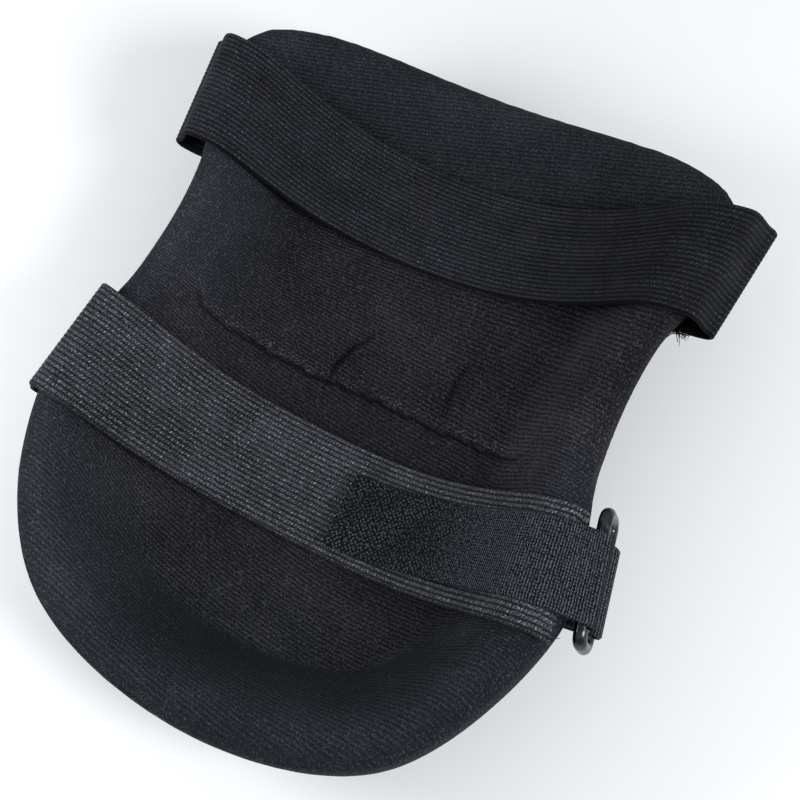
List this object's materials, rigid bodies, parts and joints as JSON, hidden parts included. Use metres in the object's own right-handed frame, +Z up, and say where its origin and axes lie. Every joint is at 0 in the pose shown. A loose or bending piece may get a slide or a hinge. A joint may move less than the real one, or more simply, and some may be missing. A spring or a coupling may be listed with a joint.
{
  "type": "knee pad",
  "caption": "Dished foam knee pad with a moulded shell on its front, elastic straps across it and a webbing tail fastened through a wire ring.",
  "frame": {"origin": "middle of the shell's flat kneeling face, on which the pad lies", "axes": "+X to the side of the wire ring, +Y to the pad's wide upper end, +Z up to the wearer's side"},
  "size_m": [0.1914, 0.219, 0.0591],
  "materials": {
    "lining": "brushed knit, black",
    "shell": "fine moulded grain, black",
    "elastic": "ribbed woven elastic, black",
    "webbing": "woven webbing with a hook patch, black",
    "metal": "dark glossy wire"
  },
  "bodies": {
    "root": {"foam_pad": "lining", "hard_shell": "shell", "top_strap": "elastic", "low_strap": "elastic", "hook_tail": "webbing", "ring_tab": "webbing", "ring": "metal"}
  },
  "joints": []
}
